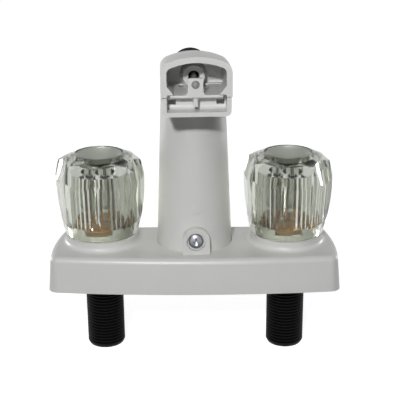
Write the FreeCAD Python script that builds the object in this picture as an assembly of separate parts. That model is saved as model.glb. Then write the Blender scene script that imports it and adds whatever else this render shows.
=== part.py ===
import FreeCAD, Part
import math
import os

os.makedirs("parts", exist_ok=True)

# Tub and shower faucet with two clear knobs and a diverter spout, in millimetres.
# The origin is on the wall midway between the two inlets. X runs along the base to the right,
# Y up the wall, away from the outlet, and Z out of the wall along the spout.

# Fits
slip = 0.1            # radial play where one piece turns or plugs into another
play = 0.3            # gap between faces that slide past each other
seat_gap = 0.2        # play around a piece that drops into a recess
bite = 0.5            # how far a rib or a lug is sunk into the wall of its own moulding

# Inlets
inlet_spacing = 101.6
shank_end_z = -42.3
thread_radius = 10.45
thread_pitch = 1.814
thread_depth = 0.95
thread_chamfer = 1.6
inlet_bore = 6.4

# Base cover
base_end = 27.9       # from a valve's axis to the end of the base
base_front = 32.0
base_back = 22.6
base_bow = 4.1
base_end_bow = 1.3
base_waist = 4.4
base_height = 19.5
base_draft = 1.6
cover_wall = 2.4
front_corner = 6.0
rear_corner = 8.0
edge_round = 3.4
collar_radius = 19.9
collar_wall = 2.0
collar_rise = 5.0
collar_blend = 2.6
ring_outer = 15.0
ring_wall = 2.0
ring_rise = 5.7
ring_floor_rise = 2.4

# Valves
barrel_radius = 14.5
neck_radius = 9.0
chamber_radius = 7.0
port_step = 1.0       # from the chamber's floor up to the edge of the side port
seat_wall = 2.5
seat_hole = 3.0
seal_height = 2.0
port_radius = 4.0
socket_radius = 8.2
socket_reach = 7.0
socket_gap = 0.4      # between the sockets and the roof of the cover
socket_depth = 2.0    # how far the cross tube goes into a barrel
keeper_height = 8.4
keeper_radius = 12.7
lug_width = 12.8
lug_reach = 14.8
lug_height = 2.4
nut_flats = 21.0
nut_height = 4.6
nut_lip = 1.8
nut_bevel = 0.4
nut_bevel_height = 0.9
nut_corner_round = 1.2
stem_neck = 4.5
spline_radius = 3.6
spline_rise = 15.1    # from the bottom of the knob to the splines
spline_length = 16.0
stem_wall = 1.9
ring_section = 1.8
stop_spare = 1.0
stop_lug_angle = 20.0
stop_lug_reach = 1.1
stop_lug_height = 1.3
turn_angle = 180.0

# Knobs, with heights from the bottom of the knob
knob_gap = 0.4        # between a knob and the collar under it
knob_facets = 8
knob_rim = 19.6
knob_foot_radius = 20.2
knob_foot_height = 1.8
knob_low_radius = 21.1
knob_low_height = 5.2
knob_mid_radius = 23.5
knob_mid_height = 19.0
knob_wide_radius = 24.0
knob_wide_height = 33.0
knob_shoulder_radius = 22.3
knob_shoulder_height = 40.8
knob_height = 44.5
facet_low = 20.7
facet_low_height = 4.1
facet_high = 22.8
left_facet_turn = 21.5
right_facet_turn = 9.5
scallop_radius = 30.0
scallop_low = 21.6        # distance of a scallop's deepest line from the knob's axis, at the widest height
scallop_high = 19.4       # and at the shoulder
skirt_bore = 15.8
skirt_height = 6.0
flute_bore = 14.3
flute_depth = 0.8
flute_count = 32
flute_roof_height = 33.6
hub_radius = 6.8
cap_radius = 12.9
cap_thickness = 4.9
cap_chamfer = 1.0
cap_lip = 0.6
cap_ledge = 0.6       # width of the step that the cap rests on
cap_hollow = 0.4      # air under the cap, inside that step
screw_well = 4.4
screw_well_depth = 3.2
handle_screw_radius = 1.6
handle_screw_length = 14.0
handle_screw_head = 3.4
handle_screw_rise = 2.2
handle_recess = 1.9
handle_recess_depth = 1.3

# Crossover
cross_tube_radius = 6.5
cross_bore = 4.2
riser_y = -6.7
tower_radius = 10.5
tower_rise = 14.5     # above the top of the base
tower_flat_depth = 0.5

# Spout, with rises from the top of the base
spout_y = 0.0
spout_twist = 3.0
foot_radius = 20.5
foot_recess = 0.4
column_radius = 17.25
taper_rise = 77.5
spout_wall = 2.9
column_wall = 2.4
outlet_y = -46.0
inner_wall = 2.0      # the wall across the head, in front of the riser
nose_floor = 1.0
outlet_rise = 109.6
nose_rise = 90.1
arch_radius = 36.0
nose_corner = 5.8
top_sweep_radius = 205.0
top_break_y = -8.0
back_sweep_radius = 34.0
back_sweep_turn = 120.0
gusset_gap = 1.2      # from the shell's lower edge up to the gussets
gusset_height = 4.3
gusset_reach = 3.4
gusset_length = 14.0
hook_leg = 1.1
hook_toe = 3.0
hook_thickness = 1.5
hook_front = -36.0
hook_back = -26.0
boss_half_width = 7.35
boss_reach = 2.8      # in front of the foot
boss_rise = 14.8
screw_rise = 6.9
screw_radius = 1.9
screw_head_radius = 3.9
screw_head_side = 0.9
screw_head_dome = 1.3
screw_recess = 2.5
screw_recess_depth = 1.5
screw_sink = 2.3      # depth and radius of the round recess for the screw's head
screw_sink_radius = 4.9
screw_tip_gap = 0.5   # between the screw's tip and the riser's socket
mark_rise = 25.0
mark_shift = 0.5
mark_radius = 4.0
mark_width = 0.7
mark_depth = 0.4

# Riser and hose spud
riser_shift = -0.5    # the riser and its sockets stand a little to the left in the spout
riser_radius = 6.6
riser_bore = 4.6
riser_seat_rise = 0.5
riser_groove_rise = 3.0
head_rise = 95.7
head_radius = 6.3
head_bore = 5.2
head_front = -20.5
head_wall = 3.0
nozzle_lift = 0.4     # of the nozzle and the rod over the middle of the head
nozzle_tip = -25.0
nozzle_tip_radius = 5.4
nozzle_root_radius = 6.2
nozzle_bore = 2.9
spud_rise = 91.3
spud_socket_radius = 10.4
spud_socket_bore = 8.6
spud_socket_front = -9.0
spud_seat_y = 0.0
spud_sleeve = 2.5
spud_gasket_height = 1.2
spud_reach = 9.75     # behind the column
spud_bore = 6.5
spud_clearance = 0.15

# Diverter
diverter_travel = 5.0
slide_inset = 0.5     # of the slide's sides from the shell's
slide_height = 9.2
slide_floor = 2.2
slide_side = 2.3
slide_corner = 2.6
slide_gap = 0.95      # between the slide and the column at rest
scoop_depth = 8.0
scoop_wall = 1.5
scoop_round = 2.0
plate_height = 1.6
plate_round = 0.6
plate_front = -45.0
plate_back = -27.2
arm_width = 5.4
arm_back = -20.0
tab_half_width = 3.7
tab_height = 8.1
tab_thickness = 1.6
tab_fillet = 2.0
tab_brace = 3.4
rib_width = 2.1
rib_drop = 4.3
window_width = 3.8
window_height = 2.4
window_edge = 0.75
window_lift = 2.2
rod_radius = 1.5
rod_head_radius = 2.0
rod_head_height = 1.4
rod_flange_radius = 2.6
rod_flange_height = 1.0
seal_disc_radius = 4.4
seal_disc_thickness = 2.0

# Worked out: the base and the valves
knob_x = inlet_spacing / 2
base_width = inlet_spacing + 2 * base_end
collar_top = base_height + collar_rise
ring_top = collar_top + ring_rise
ring_floor = base_height + ring_floor_rise
roof = base_height - cover_wall
barrel_top = ring_floor - cover_wall
port_z = roof - socket_gap - socket_radius
chamber_floor = port_z - port_radius - port_step
keeper_top = ring_floor + keeper_height
lug_bottom = keeper_top - lug_height
nut_top = keeper_top + nut_height
neck_top = nut_top - nut_lip - play
stem_bottom = chamber_floor + seal_height + slip
stem_barrel_top = neck_top
lug_low = stem_barrel_top - stop_lug_height
stem_groove_low = lug_low - 2 * ring_section
tee_reach = knob_x - barrel_radius + socket_depth - play
tower_bottom = port_z - cross_tube_radius
tower_top = base_height + tower_rise

# Worked out: the knobs
knob_bottom = collar_top + knob_gap
knob_wide_z = knob_bottom + knob_wide_height
knob_shoulder_z = knob_bottom + knob_shoulder_height
knob_top = knob_bottom + knob_height
facet_low_z = knob_bottom + facet_low_height
skirt_top = knob_bottom + skirt_height
flute_roof = knob_bottom + flute_roof_height
spline_base = knob_bottom + spline_rise
spline_top = spline_base + spline_length
cap_bottom = knob_top - cap_thickness
screw_seat = cap_bottom - screw_well_depth

# Worked out: the spout
foot_z = base_height - foot_recess
column_taper_top = base_height + taper_rise
outlet_top = base_height + outlet_rise
nose_bottom = base_height + nose_rise
nose_inner = column_radius - spout_wall
inner_wall_back = riser_y - riser_radius - play
inner_wall_front = inner_wall_back - inner_wall
boss_front = -foot_radius - boss_reach
boss_top = base_height + boss_rise
screw_z = base_height + screw_rise
screw_seat_y = boss_front + screw_sink
screw_length = riser_y - riser_radius - slip - screw_tip_gap - screw_seat_y
mark_z = base_height + mark_rise
gusset_bottom = nose_bottom + gusset_gap
riser_seat_z = base_height + riser_seat_rise
riser_groove = riser_seat_z + riser_groove_rise
head_z = base_height + head_rise
nozzle_z = head_z + nozzle_lift
spud_z = base_height + spud_rise
spud_end_y = column_radius + spud_reach

# Worked out: the diverter
plate_top = gusset_bottom - play
plate_bottom = plate_top - plate_height
hook_side = nose_inner - slip
plate_half_width = hook_side - hook_leg - play - slip
slide_half_width = column_radius - slide_inset
slide_inner = slide_half_width - slide_side
slide_top = nose_bottom - play
slide_bottom = slide_top - slide_height
slide_back = -column_radius - slide_gap
window_z = slide_bottom + slide_floor + window_lift
tab_top = plate_top + tab_height
seal_front = head_front + head_wall + diverter_travel + slip

X = FreeCAD.Vector(1, 0, 0)
Y = FreeCAD.Vector(0, 1, 0)
Z = FreeCAD.Vector(0, 0, 1)


def point(x, y, z):
    return FreeCAD.Vector(x, y, z)


def cylinder(radius, low, high, x=0.0, y=0.0):
    """An upright cylinder between two heights."""
    return Part.makeCylinder(radius, high - low, point(x, y, low), Z)


def cylinder_y(radius, front, back, x, z):
    """A cylinder lying along Y."""
    return Part.makeCylinder(radius, back - front, point(x, front, z), Y)


def cylinder_x(radius, left, right, y, z):
    """A cylinder lying along X."""
    return Part.makeCylinder(radius, right - left, point(left, y, z), X)


def tube(outer, inner, low, high):
    return cylinder(outer, low, high).cut(cylinder(inner, low, high))


def box(x0, x1, y0, y1, z0, z1):
    return Part.makeBox(x1 - x0, y1 - y0, z1 - z0, point(x0, y0, z0))


def turned(profile):
    """A solid of revolution about Z from (radius, height) points."""
    corners = [point(radius, 0, height) for radius, height in profile]
    face = Part.Face(Part.makePolygon(corners + corners[:1]))
    return face.revolve(point(0, 0, 0), Z, 360)


def prism(corners, push):
    """Extrude a closed polygon along a vector."""
    face = Part.Face(Part.makePolygon(corners + corners[:1]))
    return face.extrude(push)


def hexagon(flats, low, high):
    corner = flats / math.sqrt(3)
    turn = [math.radians(60 * k) for k in range(6)]
    corners = [point(corner * math.cos(a), corner * math.sin(a), low) for a in turn]
    return prism(corners, Z * (high - low))


def thread_profile(start, end, root_inner):
    """The (radius, height) outline of a threaded stub from start down to its chamfered end."""
    direction = 1 if end > start else -1
    outline = [(root_inner, start), (thread_radius, start)]
    ridges = int((abs(end - start) - thread_chamfer) / thread_pitch)
    flat = thread_pitch / 5
    flank = (thread_pitch - 2 * flat) / 2
    height = start + direction * flat
    for ridge in range(ridges):
        outline.append((thread_radius, height))
        outline.append((thread_radius - thread_depth, height + direction * flank))
        outline.append((thread_radius - thread_depth, height + direction * (flank + flat)))
        outline.append((thread_radius, height + direction * (2 * flank + flat)))
        height += direction * thread_pitch
    outline.append((thread_radius, end - direction * thread_chamfer))
    outline.append((thread_radius - thread_chamfer / 2, end))
    outline.append((root_inner, end))
    return outline


def base_outline(inset, z):
    """The bowed outline of the base at one height, drawn in by inset, as a closed wire."""
    half = base_width / 2 - inset
    front = -base_front + inset
    back = base_back - inset
    front_corner_y = front + base_bow
    rear_half = half - base_waist
    front_left = point(-half + base_end_bow, front_corner_y, z)
    front_right = point(half - base_end_bow, front_corner_y, z)
    rear_left = point(-rear_half, back, z)
    rear_right = point(rear_half, back, z)
    widest = (front_corner_y * 2 + back) / 3
    edges = [
        Part.Arc(front_left, point(0, front, z), front_right).toShape(),
        Part.Arc(front_right, point(half, widest, z), rear_right).toShape(),
        Part.LineSegment(rear_right, rear_left).toShape(),
        Part.Arc(rear_left, point(-half, widest, z), front_left).toShape(),
    ]
    block = Part.Face(Part.Wire(edges)).extrude(Z)
    front_edges = [e for e in block.Edges if upright(e) and e.CenterOfMass.y < 0]
    block = block.makeFillet(front_corner - inset, front_edges)
    rear_edges = [e for e in block.Edges if upright(e) and abs(e.CenterOfMass.y - back) < 0.01]
    block = block.makeFillet(rear_corner - inset, rear_edges)
    floor = min(block.Faces, key=lambda face: face.CenterOfMass.z)
    return floor.OuterWire


def upright(edge):
    low = edge.Vertexes[0].Point
    high = edge.Vertexes[-1].Point
    return abs(low.x - high.x) < 1e-6 and abs(low.y - high.y) < 1e-6 and abs(low.z - high.z) > 0.5


def twisted(shape):
    """Turn a spout piece about the column's axis, as the spout is turned on its base."""
    shape = shape.copy()
    shape.rotate(point(0, spout_y, 0), Z, spout_twist)
    return shape


def foot_outline(clearance, low, high):
    """The footprint of the spout: the round column and its screw boss."""
    round_foot = cylinder(foot_radius + clearance, low, high, 0, spout_y)
    half = boss_half_width + clearance
    boss = box(-half, half, boss_front - clearance, spout_y, low, high)
    return round_foot.fuse(boss)


def base_cover():
    outer = Part.makeLoft([base_outline(0, 0), base_outline(base_draft, base_height)], True, True)
    top_edges = [e for e in outer.Edges if abs(e.BoundBox.ZMin - base_height) < 0.01]
    outer = outer.makeFillet(edge_round, top_edges)
    inner_low = base_outline(cover_wall, 0)
    inner_high = base_outline(cover_wall + base_draft, roof)
    cover = outer.cut(Part.makeLoft([inner_low, inner_high], True, True))
    for side in (-1, 1):
        x = side * knob_x
        collar = cylinder(collar_radius, roof, collar_top, x)
        cover = cover.fuse(collar)
    cover = cover.removeSplitter()
    blends = [e for e in cover.Edges if collar_root(e)]
    cover = cover.makeFillet(collar_blend, blends)
    for side in (-1, 1):
        x = side * knob_x
        cover = cover.cut(cylinder(collar_radius - collar_wall, ring_floor, collar_top, x))
        cover = cover.cut(cylinder(collar_radius - cover_wall, roof - 1, barrel_top, x))
        ring = tube(ring_outer, ring_outer - ring_wall, ring_floor, ring_top)
        cover = cover.fuse(ring.translated(point(x, 0, 0)))
        cover = cover.cut(cylinder(neck_radius + seat_gap, roof - 1, ring_floor, x))
        half = lug_width / 2 + seat_gap
        reach = ring_outer + seat_gap
        cover = cover.cut(box(x - half, x + half, -reach, reach, lug_bottom - slip, ring_top))
    cover = cover.cut(twisted(foot_outline(seat_gap, foot_z, base_height + 1)))
    tower_hole = cylinder(tower_radius + play, roof - 1, base_height, riser_shift, riser_y)
    return cover.cut(twisted(tower_hole))


def collar_root(edge):
    """Whether an edge is the circle where a knob collar meets the top of the base."""
    curve = edge.Curve
    if not isinstance(curve, Part.Circle):
        return False
    at_top = abs(curve.Center.z - base_height) < 0.01
    return at_top and abs(curve.Radius - collar_radius) < 0.01


def at_valve(shape, side):
    """Move a piece made at the origin to the left valve, side -1, or the right one, side 1."""
    return shape.translated(point(side * knob_x, 0, 0))


def valve_body(side):
    """A threaded inlet shank and its valve chamber, moulded in one, with a socket to the middle."""
    reach = barrel_radius + socket_reach
    body = turned(thread_profile(0.0, shank_end_z, inlet_bore))
    body = body.fuse(cylinder(barrel_radius, 0, barrel_top))
    body = body.fuse(cylinder(neck_radius, barrel_top, neck_top))
    body = body.fuse(cylinder_x(socket_radius, 0, reach, 0, port_z))
    body = body.cut(cylinder(inlet_bore, shank_end_z, chamber_floor - seat_wall))
    body = body.cut(cylinder(seat_hole, chamber_floor - seat_wall, chamber_floor))
    body = body.cut(cylinder(chamber_radius, chamber_floor, neck_top))
    body = body.cut(cylinder_x(port_radius, 0, reach, 0, port_z))
    body = body.cut(cylinder_x(cross_tube_radius + slip, barrel_radius - socket_depth, reach, 0, port_z))
    if side > 0:
        body = body.mirror(point(0, 0, 0), X)
    return at_valve(body.cut(stop_recess(side)), side)


def stop_recess(side):
    """The part ring in the neck that the stem's lug runs round between its two stops."""
    sweep = turn_angle + stop_lug_angle + 2 * stop_spare
    start = -stop_lug_angle / 2 - stop_spare
    if side > 0:
        start = -start - sweep
    radius = chamber_radius + stop_lug_reach + slip
    low = lug_low - slip
    sector = Part.makeCylinder(radius, neck_top - low, point(0, 0, low), Z, sweep)
    sector.rotate(point(0, 0, 0), Z, start)
    return sector


def seat_seal(side):
    seal = tube(chamber_radius - slip, seat_hole, chamber_floor, chamber_floor + seal_height)
    return at_valve(seal, side)


def stem(side):
    """The turning valve stem: a ported barrel, its seal groove, neck and splined top."""
    outer = chamber_radius - slip
    barrel = cylinder(outer, stem_bottom, stem_barrel_top)
    barrel = barrel.fuse(cylinder(stem_neck, stem_barrel_top, spline_base))
    barrel = barrel.fuse(cylinder(spline_radius, spline_base, spline_top))
    barrel = barrel.cut(cylinder(outer - stem_wall, stem_bottom, port_z + port_radius + stem_wall))
    window = box(0, chamber_radius, -port_radius, port_radius, port_z - port_radius, port_z + port_radius)
    if side > 0:
        window = window.mirror(point(0, 0, 0), X)
    barrel = barrel.cut(window)
    groove_top = stem_groove_low + ring_section
    barrel = barrel.cut(tube(chamber_radius, chamber_radius - ring_section, stem_groove_low, groove_top))
    lug_radius = chamber_radius + stop_lug_reach
    lug = Part.makeCylinder(lug_radius, stop_lug_height, point(0, 0, lug_low), Z, stop_lug_angle)
    lug.rotate(point(0, 0, 0), Z, -stop_lug_angle / 2)
    barrel = barrel.fuse(lug)
    barrel = barrel.cut(cylinder(handle_screw_radius, spline_top - handle_screw_length, spline_top))
    return at_valve(barrel, side)


def stem_oring(side):
    section = ring_section / 2 - slip / 4
    centre = point(0, 0, stem_groove_low + ring_section / 2)
    return at_valve(Part.makeTorus(chamber_radius - slip / 2 - section, section, centre, Z), side)


def keeper(side):
    """The brass plate whose two lugs lie in the notches of the cover's ring."""
    half = lug_width / 2
    plate = cylinder(keeper_radius, ring_floor, keeper_top)
    lugs = box(-half, half, -lug_reach, lug_reach, lug_bottom, keeper_top)
    plate = plate.fuse(lugs.common(cylinder(lug_reach, lug_bottom, keeper_top)))
    return at_valve(plate.cut(cylinder(neck_radius + slip, ring_floor, keeper_top)), side)


def bonnet_nut(side):
    """The hexagon nut that clamps the keeper and cover and holds the stem in."""
    flat = nut_flats / 2
    corner = flat + nut_corner_round
    bevelled = turned([(0, keeper_top), (corner, keeper_top), (corner, nut_top - nut_bevel_height),
                       (flat - nut_bevel, nut_top), (0, nut_top)])
    nut = hexagon(nut_flats, keeper_top, nut_top).common(bevelled)
    nut = nut.cut(cylinder(neck_radius + slip / 2, keeper_top, nut_top - nut_lip))
    return at_valve(nut.cut(cylinder(stem_neck + slip, keeper_top, nut_top)), side)


def facet_frustum(sides, low_distance, low, high_distance, high, turn):
    """A many-sided tapered block, given by the distance of its flats at two heights."""
    def ring(distance, z):
        corner = distance / math.cos(math.pi / sides)
        angles = [math.radians(turn) + 2 * math.pi * (k + 0.5) / sides for k in range(sides)]
        corners = [point(corner * math.cos(a), corner * math.sin(a), z) for a in angles]
        return Part.makePolygon(corners + corners[:1])
    return Part.makeLoft([ring(low_distance, low), ring(high_distance, high)], True, True)


def shoulder_scallops(turn):
    """Slanting round cuts that hollow the knob's shoulder between its ridges."""
    lean = (scallop_high - scallop_low) / (knob_shoulder_z - knob_wide_z)
    level_radius = scallop_radius * math.sqrt(1 + lean * lean)
    scallops = []
    for k in range(knob_facets):
        angle = math.radians(turn + 360 * k / knob_facets)
        ends = []
        for z in (knob_bottom, knob_top + scallop_radius):
            distance = scallop_low + lean * (z - knob_wide_z) + level_radius
            ends.append(point(distance * math.cos(angle), distance * math.sin(angle), z))
        run = ends[1] - ends[0]
        scallops.append(Part.makeCylinder(scallop_radius, run.Length, ends[0], run))
    return scallops


def knob_blank():
    """The knob's round outline, before its facets are cut."""
    foot = point(knob_foot_radius, 0, knob_bottom + knob_foot_height)
    low = point(knob_low_radius, 0, knob_bottom + knob_low_height)
    mid = point(knob_mid_radius, 0, knob_bottom + knob_mid_height)
    wide = point(knob_wide_radius, 0, knob_wide_z)
    grip = Part.BSplineCurve()
    grip.interpolate([foot, low, mid, wide])
    rim = point(knob_rim, 0, knob_bottom)
    shoulder = point(knob_shoulder_radius, 0, knob_shoulder_z)
    lip = point(cap_radius + cap_lip, 0, knob_top)
    corners = [wide, shoulder, lip, point(0, 0, knob_top), point(0, 0, knob_bottom), rim, foot]
    straight = [Part.LineSegment(a, b).toShape() for a, b in zip(corners, corners[1:])]
    return Part.Face(Part.Wire([grip.toShape()] + straight)).revolve(point(0, 0, 0), Z, 360)


def knob(side):
    """The clear cut-facet knob with its fluted bore, splined hub and cap recess."""
    turn = left_facet_turn if side < 0 else right_facet_turn
    slope = (facet_high - facet_low) / (knob_wide_z - facet_low_z)
    low, high = knob_bottom - play, knob_top + play
    sides = facet_frustum(knob_facets, facet_low + slope * (low - facet_low_z), low,
                          facet_low + slope * (high - facet_low_z), high, turn)
    body = knob_blank().common(sides)
    for scallop in shoulder_scallops(turn):
        body = body.cut(scallop)
    body = body.cut(cylinder(skirt_bore, knob_bottom, skirt_top))
    flutes = []
    for k in range(2 * flute_count):
        radius = flute_bore - (flute_depth if k % 2 else 0)
        angle = math.pi * k / flute_count
        flutes.append(point(radius * math.cos(angle), radius * math.sin(angle), skirt_top))
    body = body.cut(prism(flutes, Z * (flute_roof - skirt_top)))
    body = body.fuse(cylinder(hub_radius, spline_base, flute_roof))
    body = body.cut(cylinder(spline_radius + slip / 2, spline_base, spline_top))
    body = body.cut(cylinder(handle_screw_radius + slip, spline_top, cap_bottom))
    body = body.cut(cylinder(screw_well, screw_seat, cap_bottom))
    body = body.cut(cylinder(cap_radius + slip - cap_ledge, cap_bottom - cap_hollow, cap_bottom))
    return at_valve(body.cut(cylinder(cap_radius + slip, cap_bottom, knob_top)), side)


def index_cap(side):
    cap = cylinder(cap_radius, cap_bottom, knob_top)
    rim = [e for e in cap.Edges if abs(e.BoundBox.ZMin - knob_top) < 0.01]
    return at_valve(cap.makeChamfer(cap_chamfer, rim), side)


def cross_recess(size, depth):
    """A Phillips recess that opens at z = 0 and goes down."""
    blade = box(-size, size, -size / 4, size / 4, -depth, 0)
    cross = blade.fuse(box(-size / 4, size / 4, -size, size, -depth, 0))
    cone = Part.makeCone(0, size * 1.25, depth, point(0, 0, -depth), Z)
    return cross.common(cone)


def dome(radius, height):
    """A shallow button head standing on z = 0."""
    ball = (radius * radius + height * height) / (2 * height)
    return Part.makeSphere(ball, point(0, 0, height - ball)).common(cylinder(radius, 0, height))


def handle_screw(side):
    """The screw under the index cap that holds the knob on its stem."""
    recess = cross_recess(handle_recess, handle_recess_depth).translated(point(0, 0, handle_screw_rise))
    head = dome(handle_screw_head, handle_screw_rise).cut(recess)
    screw = head.fuse(cylinder(handle_screw_radius, -handle_screw_length, 0))
    return at_valve(screw.translated(point(0, 0, screw_seat)), side)


def tower_flat():
    """The Y of the small flat on the front of the tower, behind the spout's screw boss."""
    return riser_y - tower_radius + tower_flat_depth


def crossover():
    """The tee under the cover: a cross tube and the upright tower that takes the riser."""
    x = riser_shift
    flat = tower_flat()
    tower = cylinder(tower_radius, tower_bottom, tower_top, x, riser_y)
    front = riser_y - tower_radius - play
    tower = tower.cut(box(x - tower_radius, x + tower_radius, front, flat, foot_z, tower_top))
    tee = cylinder_x(cross_tube_radius, -tee_reach, tee_reach, 0, port_z).fuse(twisted(tower))
    tee = tee.cut(cylinder_x(cross_bore, -tee_reach, tee_reach, 0, port_z))
    low, high = port_z - cross_bore, port_z + cross_bore
    inside = cylinder(riser_bore, low, riser_seat_z, x, riser_y)
    inside = inside.fuse(cylinder(riser_radius + slip, riser_seat_z, tower_top, x, riser_y))
    inside = inside.fuse(box(x - cross_bore, x + cross_bore, riser_y, 0, low, high))
    pilot_end = screw_seat_y + screw_length + slip
    inside = inside.fuse(cylinder_y(screw_radius, flat - play, pilot_end, 0, screw_z))
    tee = tee.cut(twisted(inside))
    half = ring_section / 2
    for side in (-1, 1):
        centre = side * ring_centre()
        groove = cylinder_x(cross_tube_radius + play, centre - half, centre + half, 0, port_z)
        core = cylinder_x(cross_tube_radius - half, centre - half, centre + half, 0, port_z)
        tee = tee.cut(groove.cut(core))
    return tee


def ring_centre():
    """The distance of the cross tube's seal grooves from the middle."""
    return tee_reach - 2 * ring_section


def crossover_orings():
    section = ring_section / 4
    rings = []
    for side in (-1, 1):
        centre = point(side * ring_centre(), 0, port_z)
        rings.append(Part.makeTorus(cross_tube_radius - section, section, centre, X))
    return Part.makeCompound(rings)


def nose_section(inset, bottom, y):
    """The outlet's cross-section in the plane of one y: upright sides, round corners and a low arch."""
    half = column_radius - inset
    arch = arch_radius - inset
    corner = nose_corner - inset
    top = outlet_top - inset
    hub = top - arch
    corner_x = half - corner
    corner_z = hub + math.sqrt((arch - corner) ** 2 - corner_x ** 2)
    lean = math.atan2(corner_x, corner_z - hub)
    turn_in = (math.pi / 2 - lean) / 2

    def on_corner(side, angle):
        return point(side * (corner_x + corner * math.cos(angle)), y, corner_z + corner * math.sin(angle))

    edges = [Part.LineSegment(point(-half, y, bottom), point(half, y, bottom)).toShape()]
    for side in (-1, 1):
        start, mid, end = (on_corner(side, angle) for angle in (0, turn_in, 2 * turn_in))
        edges.append(Part.LineSegment(point(side * half, y, bottom), start).toShape())
        edges.append(Part.Arc(start, mid, end).toShape())
    meet = 2 * turn_in
    edges.append(Part.Arc(on_corner(-1, meet), point(0, y, top), on_corner(1, meet)).toShape())
    return Part.Face(Part.Wire(Part.__sortEdges__(edges)))


def swept_top(inset):
    """Everything under the spout's top: the arch carried back along two arcs and down the back."""
    top = outlet_top - inset
    low = top - (back_sweep_radius - inset - bite)
    wide = column_radius + play
    lead = 2 * bite
    section = nose_section(inset, low, outlet_y)
    axis = point(0, outlet_y, outlet_top - top_sweep_radius)
    lean = math.asin((top_break_y - outlet_y) / top_sweep_radius)
    angle = math.degrees(lean)
    back_axis = point(0, top_break_y - back_sweep_radius * math.sin(lean),
                      axis.z + (top_sweep_radius - back_sweep_radius) * math.cos(lean))
    end = section.copy()
    end.rotate(axis, X, -angle)
    swept = section.extrude(Y * -lead)
    swept = swept.fuse(section.revolve(axis, X, -angle))
    swept = swept.fuse(end.revolve(back_axis, X, angle - back_sweep_turn))
    under = box(-wide, wide, outlet_y - lead, back_axis.y + back_sweep_radius / 2, foot_z, low + lead)
    return swept.fuse(under)


def plan_block(half, side_room, front, low, high):
    """A block with a round back, centred on the column, that runs forward to the outlet."""
    wide = half + side_room
    straight = box(-wide, wide, front, spout_y, low, high)
    return straight.fuse(cylinder(half, low, high, 0, spout_y))


def column(foot, top, high):
    """The tapering column, straight above its taper."""
    taper = Part.makeCone(foot, top, column_taper_top - foot_z, point(0, spout_y, foot_z), Z)
    return taper.fuse(cylinder(top, column_taper_top, high, 0, spout_y))


def spout_solid():
    """The outside of the spout, before it is hollowed."""
    head = plan_block(column_radius, play, outlet_y, nose_bottom, outlet_top + play)
    lower = column(foot_radius, column_radius, nose_bottom)
    return lower.fuse(head.common(swept_top(0))).removeSplitter()


def spout_hollow():
    """The space inside the spout."""
    head = plan_block(nose_inner, play, outlet_y - bite, nose_bottom - bite, outlet_top)
    floor_half = nose_inner + cover_wall
    floor = box(-floor_half, floor_half, slide_back - play, spout_y, nose_bottom - 2 * bite,
                nose_bottom + nose_floor)
    head = head.cut(floor).fuse(cylinder(nose_inner, nose_bottom - bite, outlet_top, 0, spout_y))
    lower = column(foot_radius - column_wall, column_radius - column_wall, nose_bottom)
    return lower.fuse(head.common(swept_top(spout_wall)))


def screw_boss():
    """The arch-topped boss at the foot of the spout, in front of the crossover's tower."""
    arch_centre = boss_top - boss_half_width
    inner = tower_flat() - slip
    block = box(-boss_half_width, boss_half_width, boss_front, inner, foot_z, arch_centre)
    crown = cylinder_y(boss_half_width, boss_front, inner, 0, arch_centre)
    return block.fuse(crown).removeSplitter()


def outlet_rails():
    """The two gussets that run back from the outlet's lower corners, and the hooks under them."""
    wall = nose_inner + bite
    tip = nose_inner - gusset_reach
    high = gusset_bottom + gusset_height
    corners = [point(wall, outlet_y, high), point(nose_inner, outlet_y, high),
               point(tip, outlet_y, gusset_bottom), point(wall, outlet_y, gusset_bottom)]
    gusset = prism(corners, Y * gusset_length)
    low = plate_bottom - play - hook_thickness
    leg = box(hook_side - hook_leg, hook_side, hook_front, hook_back, low, gusset_bottom + bite)
    toe = box(hook_side - hook_toe, hook_side, hook_front, hook_back, low, low + hook_thickness)
    shelf = box(hook_side - hook_leg, wall, hook_front, hook_back, gusset_bottom,
                gusset_bottom + hook_thickness)
    rail = gusset.fuse(leg).fuse(toe).fuse(shelf)
    return [rail, rail.mirror(point(0, 0, 0), X)]


def mould_mark():
    """The shallow ring marked in the column's front, as a cut."""
    ring = cylinder_y(mark_radius, boss_front, spout_y, mark_shift, mark_z)
    ring = ring.cut(cylinder_y(mark_radius - mark_width, boss_front, spout_y, mark_shift, mark_z))
    slope = (foot_radius - column_radius) / (column_taper_top - foot_z)
    skin = foot_radius - slope * (mark_z - foot_z) - mark_depth
    reach = 2 * mark_radius
    low = point(0, spout_y, mark_z - reach)
    return ring.cut(Part.makeCone(skin + slope * reach, skin - slope * reach, 2 * reach, low, Z))


def spout_shell():
    solid = spout_solid()
    shell = solid.cut(spout_hollow()).fuse(screw_boss())
    across = box(-column_radius, column_radius, inner_wall_front, inner_wall_back, nose_bottom, outlet_top)
    shell = shell.fuse(across.common(solid))
    for rail in outlet_rails():
        shell = shell.fuse(rail)
    shell = shell.cut(shifted(cylinder_y(thread_radius + spud_clearance, spud_socket_front - play,
                                         spud_end_y, 0, spud_z)))
    shell = shell.cut(shifted(cylinder_y(head_radius + play, head_front - play, spout_y, 0, head_z)))
    shell = shell.cut(cylinder_y(screw_radius + slip, boss_front, riser_y, 0, screw_z))
    shell = shell.cut(cylinder_y(screw_sink_radius, boss_front, screw_seat_y, 0, screw_z))
    return twisted(shell.cut(mould_mark()))


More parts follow.
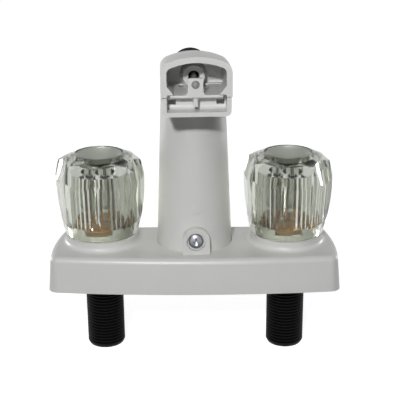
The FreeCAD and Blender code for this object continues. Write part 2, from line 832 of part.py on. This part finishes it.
def spout_riser():
    """The white tube that carries the water up the spout, with the nozzle and the hose socket."""
    chamber_front = head_front + head_wall
    sleeve_front = spud_seat_y - spud_sleeve
    outer = cylinder(riser_radius, riser_seat_z, head_z, 0, riser_y)
    outer = outer.fuse(cylinder_y(head_radius, head_front, spud_socket_front + bite, 0, head_z))
    outer = outer.fuse(cylinder_y(spud_socket_radius, spud_socket_front, spud_seat_y, 0, spud_z))
    nozzle_length = head_front - nozzle_tip + bite
    outer = outer.fuse(Part.makeCone(nozzle_tip_radius, nozzle_root_radius, nozzle_length,
                                     point(0, nozzle_tip, nozzle_z), Y))
    bores = cylinder(riser_bore, riser_seat_z, head_z, 0, riser_y)
    bores = bores.fuse(cylinder_y(head_bore, chamber_front, sleeve_front, 0, head_z))
    bores = bores.fuse(cylinder_y(spud_socket_bore, sleeve_front - slip, spud_seat_y, 0, spud_z))
    bores = bores.fuse(cylinder_y(nozzle_bore, nozzle_tip, chamber_front + bite, 0, nozzle_z))
    riser = outer.cut(bores)
    groove = tube(riser_radius + play, riser_radius - ring_section / 2, riser_groove,
                  riser_groove + ring_section)
    return twisted(shifted(riser.cut(groove.translated(point(0, riser_y, 0)))))


def shifted(shape):
    """Move a piece of the waterway a little to the left of the spout's middle."""
    return shape.translated(point(riser_shift, 0, 0))


def lying(shape, front, z):
    """Lay an upright turned piece along Y, so that its foot is at the given front and height."""
    shape = shape.copy()
    shape.rotate(point(0, 0, 0), X, -90)
    return twisted(shifted(shape.translated(point(0, front, z))))


def riser_oring():
    section = ring_section / 4
    centre = point(0, riser_y, riser_groove + ring_section / 2)
    return twisted(shifted(Part.makeTorus(riser_radius - section, section, centre, Z)))


def hose_spud():
    """The black threaded spud that takes the shower hose, pointing up the wall."""
    thread = turned(thread_profile(spud_gasket_height, spud_end_y - spud_seat_y, spud_bore))
    sleeve = tube(spud_socket_bore - slip, spud_bore, -spud_sleeve, spud_gasket_height)
    return lying(thread.fuse(sleeve), spud_seat_y, spud_z)


def spud_gasket():
    gasket = tube(spud_socket_radius - slip, spud_socket_bore, 0, spud_gasket_height)
    return lying(gasket, spud_seat_y, spud_z)


def spout_screw():
    crown = dome(screw_head_radius, screw_head_dome).translated(point(0, 0, screw_head_side))
    screw = cylinder(screw_head_radius, 0, screw_head_side).fuse(crown)
    recess = cross_recess(screw_recess, screw_recess_depth)
    screw = screw.cut(recess.translated(point(0, 0, screw_head_side + screw_head_dome)))
    screw = screw.fuse(cylinder(screw_radius, -screw_length, 0))
    screw.rotate(point(0, 0, 0), X, 90)
    return twisted(screw.translated(point(0, screw_seat_y, screw_z)))


def diverter_slide():
    """The thumb piece that closes the underside of the outlet and carries the diverter rod."""
    half = slide_inner
    floor = slide_bottom + slide_floor
    outer = box(-slide_half_width, slide_half_width, outlet_y, slide_back, slide_bottom, slide_top)
    low_edges = [e for e in outer.Edges if abs(e.BoundBox.ZMax - slide_bottom) < 0.01]
    outer = outer.makeFillet(slide_corner, [e for e in low_edges if e.BoundBox.YLength > 1])
    body = outer.cut(box(-half, half, outlet_y, slide_back, floor, slide_top))
    wall_front = outlet_y + scoop_depth
    wall_back = wall_front + scoop_wall
    wall = box(-half, half, wall_front, wall_back, slide_bottom, slide_top)
    wall = wall.fuse(box(-plate_half_width, plate_half_width, wall_front, wall_back, slide_bottom,
                         plate_bottom + plate_height / 2))
    cove = box(-half, half, wall_front - scoop_round, wall_front, floor, floor + scoop_round)
    cove = cove.cut(cylinder_x(scoop_round, -half, half, wall_front - scoop_round, floor + scoop_round))
    body = body.fuse(wall).fuse(cove)
    for side in (-1, 1):
        window_end = slide_inner - window_edge
        low, high = sorted((side * (window_end - window_width), side * window_end))
        body = body.cut(box(low, high, wall_front, wall_back, window_z, window_z + window_height))
    plate = box(-plate_half_width, plate_half_width, plate_front, plate_back, plate_bottom, plate_top)
    lip = [e for e in plate.Edges if e.BoundBox.YMax < plate_front + 0.01 and e.BoundBox.XLength > 1]
    body = body.fuse(plate.makeFillet(plate_round, lip))
    for side in (-1, 1):
        low, high = sorted((side * (plate_half_width - arm_width), side * plate_half_width))
        body = body.fuse(box(low, high, plate_back - bite, arm_back, plate_bottom, plate_top))
    rib = box(-rib_width / 2, rib_width / 2, plate_front + plate_round, wall_front, plate_bottom - rib_drop,
              plate_bottom + bite)
    return twisted(body.fuse(shifted(rib.fuse(rod_tab()))))


def rod_tab():
    """The upright tab on the slide's plate that holds the head of the diverter rod."""
    back = plate_front + tab_thickness
    foot = tab_half_width + tab_fillet
    low, high = plate_top - plate_height / 2, plate_top + tab_fillet
    tab = box(-tab_half_width, tab_half_width, plate_front, back, low, tab_top)
    skirt = box(-foot, foot, plate_front, back, plate_top, high)
    skirt = skirt.fuse(box(-foot, foot, plate_front + plate_round, back, low, plate_top))
    for side in (-1, 1):
        skirt = skirt.cut(cylinder_y(tab_fillet, plate_front, back, side * foot, high))
    brace = prism([point(-rib_width / 2, back, plate_top), point(-rib_width / 2, back + tab_brace, plate_top),
                   point(-rib_width / 2, back, plate_top + tab_brace)], X * rib_width)
    return tab.fuse(skirt).fuse(brace).cut(cylinder_y(rod_radius, plate_front, back, 0, nozzle_z))


def diverter_rod():
    """The rod from the tab through the nozzle, with its domed head and the flange behind the seal."""
    length = seal_front + seal_disc_thickness + rod_flange_height - plate_front
    rod = dome(rod_head_radius, rod_head_height).mirror(point(0, 0, 0), Z)
    rod = rod.fuse(cylinder(rod_radius, 0, length))
    rod = rod.fuse(cylinder(rod_flange_radius, length - rod_flange_height, length))
    return lying(rod, plate_front, nozzle_z)


def diverter_seal():
    disc = tube(seal_disc_radius, rod_radius, 0, seal_disc_thickness)
    return lying(disc, seal_front, nozzle_z)


def save(name, shape):
    shape.exportStep("parts/" + name + ".step")
    print(name, len(shape.Solids), round(shape.Volume, 1), shape.isValid())


save("base_cover", base_cover())
for prefix, side in (("left_", -1), ("right_", 1)):
    save(prefix + "valve_body", valve_body(side))
    save(prefix + "seat_seal", seat_seal(side))
    save(prefix + "keeper", keeper(side))
    save(prefix + "bonnet_nut", bonnet_nut(side))
    save(prefix + "stem", stem(side))
    save(prefix + "stem_oring", stem_oring(side))
    save(prefix + "knob", knob(side))
    save(prefix + "index_cap", index_cap(side))
    save(prefix + "handle_screw", handle_screw(side))
save("crossover", crossover())
save("crossover_orings", crossover_orings())
save("spout_shell", spout_shell())
save("spout_riser", spout_riser())
save("riser_oring", riser_oring())
save("hose_spud", hose_spud())
save("spud_gasket", spud_gasket())
save("spout_screw", spout_screw())
save("diverter_slide", diverter_slide())
save("diverter_rod", diverter_rod())
save("diverter_seal", diverter_seal())
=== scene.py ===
import math

import bpy
from mathutils import Matrix, Vector


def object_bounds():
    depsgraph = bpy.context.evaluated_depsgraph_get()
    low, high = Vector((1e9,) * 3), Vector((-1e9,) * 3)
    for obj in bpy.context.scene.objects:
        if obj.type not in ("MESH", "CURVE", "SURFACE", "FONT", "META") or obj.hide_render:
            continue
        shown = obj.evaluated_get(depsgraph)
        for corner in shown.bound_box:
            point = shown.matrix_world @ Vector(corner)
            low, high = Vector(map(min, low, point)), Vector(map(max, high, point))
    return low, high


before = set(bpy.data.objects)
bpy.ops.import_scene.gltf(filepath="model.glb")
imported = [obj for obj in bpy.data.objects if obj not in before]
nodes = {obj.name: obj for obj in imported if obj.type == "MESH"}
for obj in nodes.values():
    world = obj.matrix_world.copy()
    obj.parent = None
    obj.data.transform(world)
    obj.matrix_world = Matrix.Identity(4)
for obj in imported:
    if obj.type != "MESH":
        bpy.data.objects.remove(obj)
cad_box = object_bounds()


# The base cover: one white shell with a bowed outline, a round collar under each knob
# and a shallow seat for the spout. It is injection-moulded ABS, clamped against the wall
# by the two valves that pass through it.

def colour(code):
    """A linear colour from an sRGB hex value."""
    parts = [int(code[k:k + 2], 16) / 255 for k in (1, 3, 5)]
    return tuple(v / 12.92 if v <= 0.04045 else ((v + 0.055) / 1.055) ** 2.4 for v in parts) + (1,)


def add(tree, kind, inputs=None, **settings):
    """One node in a tree, with its settings, and its inputs given as values or as sockets to link."""
    node = tree.nodes.new(kind)
    for name, value in settings.items():
        setattr(node, name, value)
    for name, value in (inputs or {}).items():
        if isinstance(value, bpy.types.NodeSocket):
            tree.links.new(value, node.inputs[name])
        else:
            node.inputs[name].default_value = value
    return node


def blank(name):
    """A new material with an empty tree, and its tree."""
    material = bpy.data.materials.new(name)
    material.use_nodes = True
    material.node_tree.nodes.clear()
    return material, material.node_tree


def close(tree, shader):
    """Ends a material's tree in its output."""
    add(tree, "ShaderNodeOutputMaterial", {"Surface": shader.outputs[0]})


def dress(material, *names):
    """Gives CAD nodes their material."""
    for name in names:
        mesh = nodes[name].data
        mesh.materials.clear()
        mesh.materials.append(material)


# Moulded ABS has a soft, slightly uneven gloss from the mould, with faint flow in the colour.
white_abs, tree = blank("moulded_white_abs")
place = add(tree, "ShaderNodeTexCoord")
flow_size_mm = 22.0
flow = add(tree, "ShaderNodeTexNoise", {"Vector": place.outputs["Object"], "Scale": 1000 / flow_size_mm,
                                        "Detail": 2.0})
grain_size_mm = 0.5
grain = add(tree, "ShaderNodeTexNoise", {"Vector": place.outputs["Object"], "Scale": 1000 / grain_size_mm,
                                         "Detail": 2.0})
shade = add(tree, "ShaderNodeMix", {0: flow.outputs["Fac"], 6: colour("#CDCDCB"), 7: colour("#D3D3D1")},
            data_type="RGBA")
gloss = add(tree, "ShaderNodeMapRange", {"Value": flow.outputs["Fac"], "To Min": 0.30, "To Max": 0.40})
skin = add(tree, "ShaderNodeBump", {"Height": grain.outputs["Fac"], "Strength": 0.05, "Distance": 0.00002})
shader = add(tree, "ShaderNodeBsdfPrincipled", {"Base Color": shade.outputs[2], "IOR": 1.53,
                                                "Roughness": gloss.outputs["Result"],
                                                "Normal": skin.outputs["Normal"]})
close(tree, shader)
dress(white_abs, "base_cover")


# The two valve bodies: each is a threaded inlet shank and its valve chamber in one piece of
# black nylon, with a side socket for the crossover. They pass through the wall and the cover.

black_nylon, tree = blank("moulded_black_nylon")
place = add(tree, "ShaderNodeTexCoord")
scuff_size_mm = 3.0
scuff = add(tree, "ShaderNodeTexNoise", {"Vector": place.outputs["Object"], "Scale": 1000 / scuff_size_mm,
                                         "Detail": 4.0})
dull = add(tree, "ShaderNodeMapRange", {"Value": scuff.outputs["Fac"], "To Min": 0.38, "To Max": 0.6})
shader = add(tree, "ShaderNodeBsdfPrincipled", {"Base Color": colour("#050506"), "IOR": 1.53,
                                                "Specular IOR Level": 0.1,
                                                "Roughness": dull.outputs["Result"]})
close(tree, shader)
dress(black_nylon, "left_valve_body", "right_valve_body", "crossover", "hose_spud")


# The keeper plates, bonnet nuts and stems: turned and pressed brass inside the knobs.
# The keeper's lugs key into the cover's ring and the nut clamps it and holds the stem in.

turned_brass, tree = blank("turned_brass")
place = add(tree, "ShaderNodeTexCoord")
tarnish_size_mm = 4.0
tarnish = add(tree, "ShaderNodeTexNoise", {"Vector": place.outputs["Object"], "Detail": 5.0,
                                           "Scale": 1000 / tarnish_size_mm})
shade = add(tree, "ShaderNodeMix", {0: tarnish.outputs["Fac"], 6: colour("#B08A48"), 7: colour("#8C6A34")},
            data_type="RGBA")
dull = add(tree, "ShaderNodeMapRange", {"Value": tarnish.outputs["Fac"], "To Min": 0.25, "To Max": 0.42})
shader = add(tree, "ShaderNodeBsdfPrincipled", {"Base Color": shade.outputs[2], "Metallic": 1.0,
                                                "Roughness": dull.outputs["Result"]})
close(tree, shader)
dress(turned_brass, "left_keeper", "right_keeper", "left_bonnet_nut", "right_bonnet_nut", "left_stem",
      "right_stem")


# The seals: black nitrile rings and discs, moulded, hidden inside the valves and the spout.

black_rubber, tree = blank("black_nitrile_rubber")
place = add(tree, "ShaderNodeTexCoord")
bloom_size_mm = 1.67
bloom = add(tree, "ShaderNodeTexNoise", {"Vector": place.outputs["Object"], "Scale": 1000 / bloom_size_mm,
                                         "Detail": 3.0})
dull = add(tree, "ShaderNodeMapRange", {"Value": bloom.outputs["Fac"], "To Min": 0.6, "To Max": 0.8})
shader = add(tree, "ShaderNodeBsdfPrincipled", {"Base Color": colour("#181818"),
                                                "Roughness": dull.outputs["Result"]})
close(tree, shader)
dress(black_rubber, "left_seat_seal", "right_seat_seal", "left_stem_oring", "right_stem_oring",
      "crossover_orings", "riser_oring", "spud_gasket", "diverter_seal")


# The knobs: clear acrylic with eight cut facets, a fluted bore and a splined hub, closed on top
# by a flat index cap. They are moulded in polished tools and held on the stems by a screw each.

def lit_through(tree, shader, tint):
    """Lets lamp light pass straight through clear plastic, so that what lies behind it is lit."""
    path = add(tree, "ShaderNodeLightPath")
    clear = add(tree, "ShaderNodeBsdfTransparent", {"Color": colour(tint)})
    return add(tree, "ShaderNodeMixShader", {0: path.outputs["Is Shadow Ray"], 1: shader.outputs[0],
                                             2: clear.outputs[0]})


clear_acrylic, tree = blank("clear_moulded_acrylic")
place = add(tree, "ShaderNodeTexCoord")
wave_size_mm = 6.0
wave = add(tree, "ShaderNodeTexNoise", {"Vector": place.outputs["Object"], "Scale": 1000 / wave_size_mm,
                                        "Detail": 1.0})
skin = add(tree, "ShaderNodeBump", {"Height": wave.outputs["Fac"], "Strength": 0.1, "Distance": 0.0002})
shader = add(tree, "ShaderNodeBsdfPrincipled", {"Base Color": colour("#BEC1B8"), "Roughness": 0.08,
                                                "IOR": 1.49, "Transmission Weight": 1.0,
                                                "Normal": skin.outputs["Normal"]})
close(tree, lit_through(tree, shader, "#ECEEE8"))
dress(clear_acrylic, "left_knob", "right_knob")

# The index caps are finely frosted underneath, so they look misty from above.
frosted_acrylic, tree = blank("frosted_acrylic")
place = add(tree, "ShaderNodeTexCoord")
frost_size_mm = 0.8
frost = add(tree, "ShaderNodeTexNoise", {"Vector": place.outputs["Object"], "Scale": 1000 / frost_size_mm,
                                         "Detail": 2.0})
mist = add(tree, "ShaderNodeMapRange", {"Value": frost.outputs["Fac"], "To Min": 0.25, "To Max": 0.4})
shader = add(tree, "ShaderNodeBsdfPrincipled", {"Base Color": colour("#B4BAAC"), "IOR": 1.49,
                                                "Transmission Weight": 1.0,
                                                "Roughness": mist.outputs["Result"]})
close(tree, lit_through(tree, shader, "#ECEEE8"))
dress(frosted_acrylic, "left_index_cap", "right_index_cap")


# The screws: zinc-plated steel with cross recesses, one in each knob and one at the foot
# of the spout, where it holds the spout to the crossover's tower.

zinc_plate, tree = blank("zinc_plated_steel")
place = add(tree, "ShaderNodeTexCoord")
spangle_size_mm = 1.11
spangle = add(tree, "ShaderNodeTexNoise", {"Vector": place.outputs["Object"], "Detail": 3.0,
                                           "Scale": 1000 / spangle_size_mm})
dull = add(tree, "ShaderNodeMapRange", {"Value": spangle.outputs["Fac"], "To Min": 0.32, "To Max": 0.48})
shader = add(tree, "ShaderNodeBsdfPrincipled", {"Base Color": colour("#8E9096"), "Metallic": 1.0,
                                                "Roughness": dull.outputs["Result"]})
close(tree, shader)
dress(zinc_plate, "left_handle_screw", "right_handle_screw", "spout_screw")


# The spout: a tapering column with an arched head in white ABS, and inside it the riser tube
# with its nozzle, moulded in the same plastic.

dress(white_abs, "spout_shell", "spout_riser")


# The diverter: the white slide under the outlet, with its thumb recess and tab, and the
# grey acetal rod that carries the rubber seal inside the nozzle.

grey_acetal, tree = blank("natural_acetal")
place = add(tree, "ShaderNodeTexCoord")
cloud_size_mm = 2.0
cloud = add(tree, "ShaderNodeTexNoise", {"Vector": place.outputs["Object"], "Scale": 1000 / cloud_size_mm,
                                         "Detail": 2.0})
dull = add(tree, "ShaderNodeMapRange", {"Value": cloud.outputs["Fac"], "To Min": 0.12, "To Max": 0.2})
shader = add(tree, "ShaderNodeBsdfPrincipled", {"Base Color": colour("#8B8C89"), "IOR": 1.48,
                                                "Roughness": dull.outputs["Result"]})
close(tree, shader)
dress(white_abs, "diverter_slide")
dress(grey_acetal, "diverter_rod")


# The studio: a white floor at the ends of the shanks and a pale room. A small lamp above the
# camera and a little to its left casts the shadow under the spout. A large soft lamp high in
# front and a weak one before it fill that in, and low ones behind at each side light the walls.

def ray_share(tree):
    """1 for rays from the camera, a mirror or glass, which see the white background."""
    path = add(tree, "ShaderNodeLightPath")
    first = add(tree, "ShaderNodeMath", {0: path.outputs["Is Camera Ray"], 1: path.outputs["Is Glossy Ray"]},
                operation="MAXIMUM")
    return add(tree, "ShaderNodeMath", {0: first.outputs[0], 1: path.outputs["Is Transmission Ray"]},
               operation="MAXIMUM").outputs[0]


floor_half = 3.0
floor_z = cad_box[0][2]
mesh = bpy.data.meshes.new("floor")
mesh.from_pydata([(-floor_half, -floor_half, floor_z), (floor_half, -floor_half, floor_z),
                  (floor_half, floor_half, floor_z), (-floor_half, floor_half, floor_z)], [], [(0, 1, 2, 3)])
floor = bpy.data.objects.new("floor", mesh)
bpy.context.scene.collection.objects.link(floor)
white_sweep, tree = blank("white_paper_sweep")
# The paper is a little darker near the object, where it keeps the shadow, and white beyond.
seen = ray_share(tree)
paper_tone = add(tree, "ShaderNodeMix", {0: seen, 6: colour("#606060"), 7: colour("#C0C0C0")},
                 data_type="RGBA")
paper = add(tree, "ShaderNodeBsdfDiffuse", {"Color": paper_tone.outputs[2]})
ground = add(tree, "ShaderNodeTexCoord")
away = add(tree, "ShaderNodeVectorMath", {0: ground.outputs["Object"]}, operation="LENGTH")
level = add(tree, "ShaderNodeMapRange", {"Value": away.outputs["Value"], "From Min": 0.3, "From Max": 0.9,
                                         "To Min": 0.9, "To Max": 1.0})
lift = add(tree, "ShaderNodeMath", {0: seen, 1: level.outputs["Result"]}, operation="MULTIPLY")
glow = add(tree, "ShaderNodeEmission", {"Strength": lift.outputs[0]})
both = add(tree, "ShaderNodeAddShader", {0: paper.outputs[0], 1: glow.outputs[0]})
close(tree, both)
mesh.materials.append(white_sweep)

world = bpy.data.worlds.new("pale_room")
bpy.context.scene.world = world
world.use_nodes = True
tree = world.node_tree
tree.nodes.clear()
way = add(tree, "ShaderNodeTexCoord")
height = add(tree, "ShaderNodeSeparateXYZ", {"Vector": way.outputs["Generated"]})
wall = add(tree, "ShaderNodeMapRange", {"Value": height.outputs["Z"], "From Min": 0.2, "From Max": 0.7,
                                        "To Min": 1.0, "To Max": 0.3})
level = add(tree, "ShaderNodeMix", {0: ray_share(tree), 2: 0.02, 3: wall.outputs["Result"]},
            data_type="FLOAT")
sky = add(tree, "ShaderNodeBackground", {"Color": colour("#FFFFFF"), "Strength": level.outputs[0]})
add(tree, "ShaderNodeOutputWorld", {"Surface": sky.outputs[0]})


def lamp(name, place, target, size, power):
    """A square soft lamp aimed at a point."""
    data = bpy.data.lights.new(name, "AREA")
    data.shape = "SQUARE"
    data.size = size
    data.energy = power
    item = bpy.data.objects.new(name, data)
    item.location = place
    item.rotation_euler = (Vector(target) - Vector(place)).to_track_quat("-Z", "Y").to_euler()
    bpy.context.scene.collection.objects.link(item)


middle = (0, 0, 0.05)
lamp("key", (-0.095, -0.66, 0.4), middle, 0.04, 3.45)
lamp("overhead", (0, -0.9, 1.1), middle, 0.9, 2.7)
lamp("front_fill", (0.05, -0.75, 0.17), middle, 0.3, 0.2)
lamp("left_fill", (-0.8, 0.5, 0.1), middle, 0.24, 3.2)
lamp("right_fill", (0.8, 0.5, 0.1), middle, 0.24, 3.0)

# The camera stands in front of the outlet, a little above it, at the photograph's angle.
camera_target = Vector((0.00324, 0, 0.04212))
camera_distance = 0.52127
camera_rise = math.radians(18.97)
camera_side = math.radians(0.39)
camera_roll = math.radians(-0.44)
focal_pixels = 955.06
picture_pixels = 400
film_width = 36
back = Vector((math.sin(camera_side) * math.cos(camera_rise), -math.cos(camera_side) * math.cos(camera_rise),
               math.sin(camera_rise)))
right = Vector((math.cos(camera_side), math.sin(camera_side), 0))
up = back.cross(right)
across = right * math.cos(camera_roll) + up * math.sin(camera_roll)
camera_data = bpy.data.cameras.new("camera")
camera_data.sensor_width = film_width
camera_data.sensor_fit = "HORIZONTAL"
camera_data.lens = focal_pixels / picture_pixels * film_width
camera_data.clip_start = 0.01
camera = bpy.data.objects.new("camera", camera_data)
turn = Matrix((across, back.cross(across), back)).transposed().to_4x4()
camera.matrix_world = Matrix.Translation(camera_target + back * camera_distance) @ turn
bpy.context.scene.collection.objects.link(camera)
bpy.context.scene.camera = camera
bpy.context.scene.view_settings.view_transform = "Standard"

bpy.context.view_layer.update()
